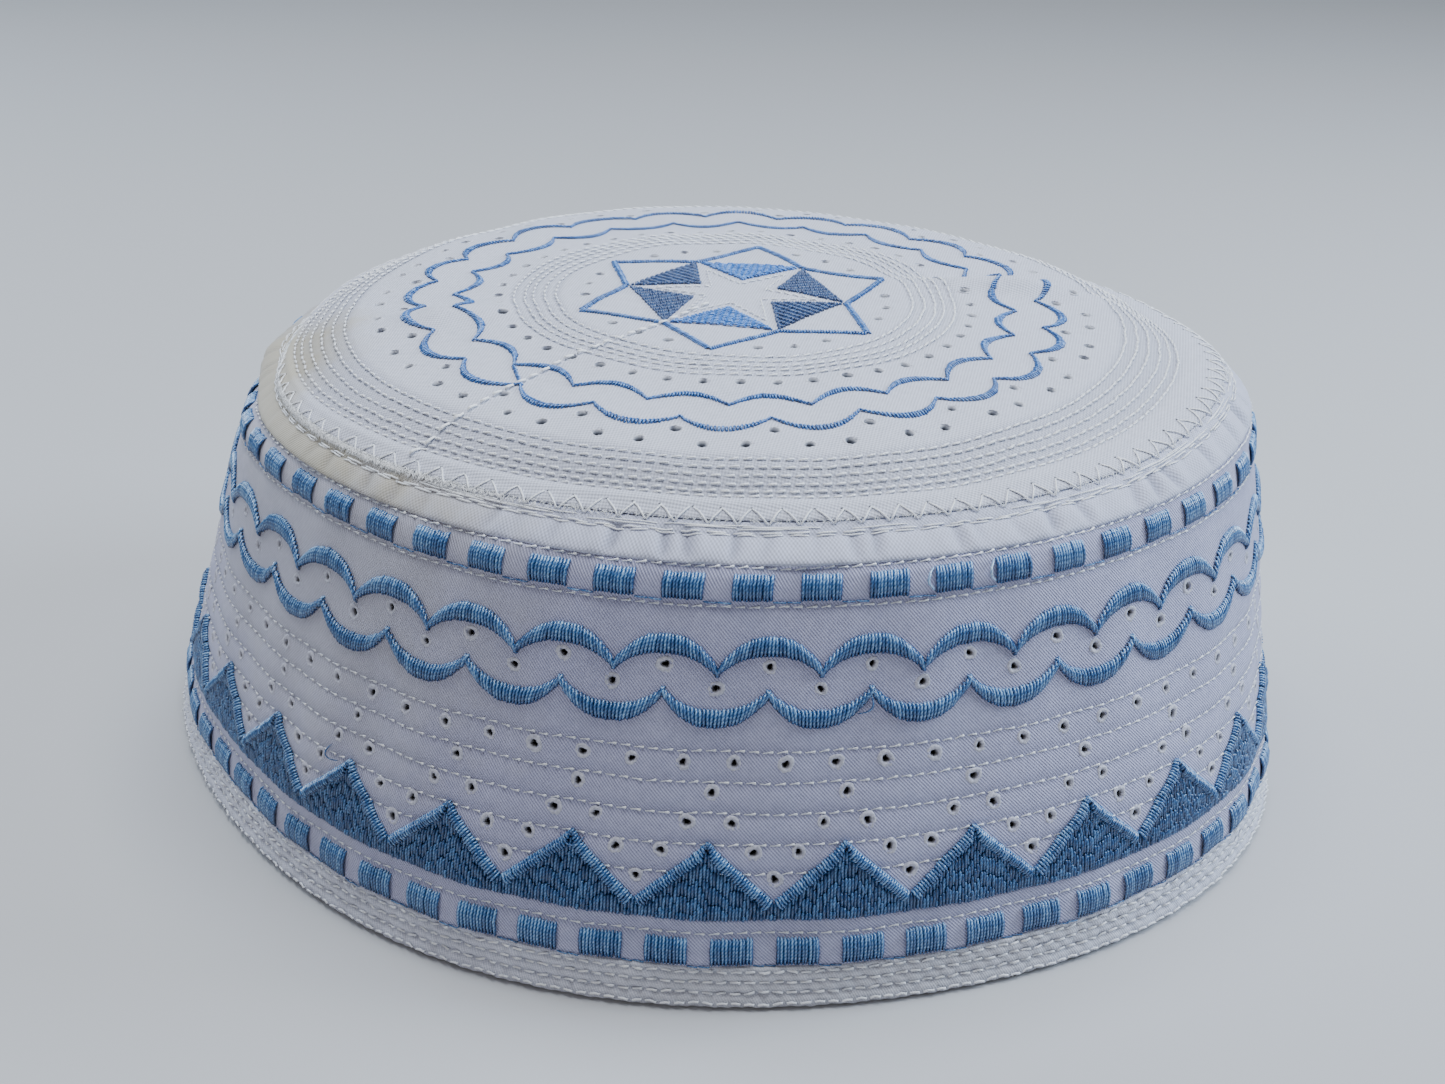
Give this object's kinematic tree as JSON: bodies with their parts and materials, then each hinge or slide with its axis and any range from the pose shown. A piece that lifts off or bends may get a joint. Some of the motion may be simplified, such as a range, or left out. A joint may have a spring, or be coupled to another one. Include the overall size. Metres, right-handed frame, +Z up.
{
  "type": "prayer cap",
  "caption": "Soft round prayer cap of quilted cotton with an embroidered wall, a gathered top edge, a quilted crown and a rolled hem, standing on its rim.",
  "frame": {"origin": "the middle of the cap's own box, on the plane that the rim stands on", "axes": "+Z up through the crown, +Y from the wearer's front to the back along the long axis of the oval rim, +X to the wearer's left"},
  "size_m": [0.177, 0.1991, 0.0786],
  "materials": {
    "hem_cotton": "white cotton, folded and stitched in rows",
    "wall_cotton": "white cotton twill with a soft sheen, quilted in rows",
    "strip_cotton": "white cotton, gathered in small pleats, a little stained",
    "crown_cotton": "white ribbed cotton, quilted in rings",
    "blue_thread": "shiny blue embroidery thread in satin stitch",
    "white_thread": "white sewing thread"
  },
  "bodies": {
    "root": {"hem": "hem_cotton", "side_band": "wall_cotton", "gathered_strip": "strip_cotton", "crown_panel": "crown_cotton"}
  },
  "joints": []
}
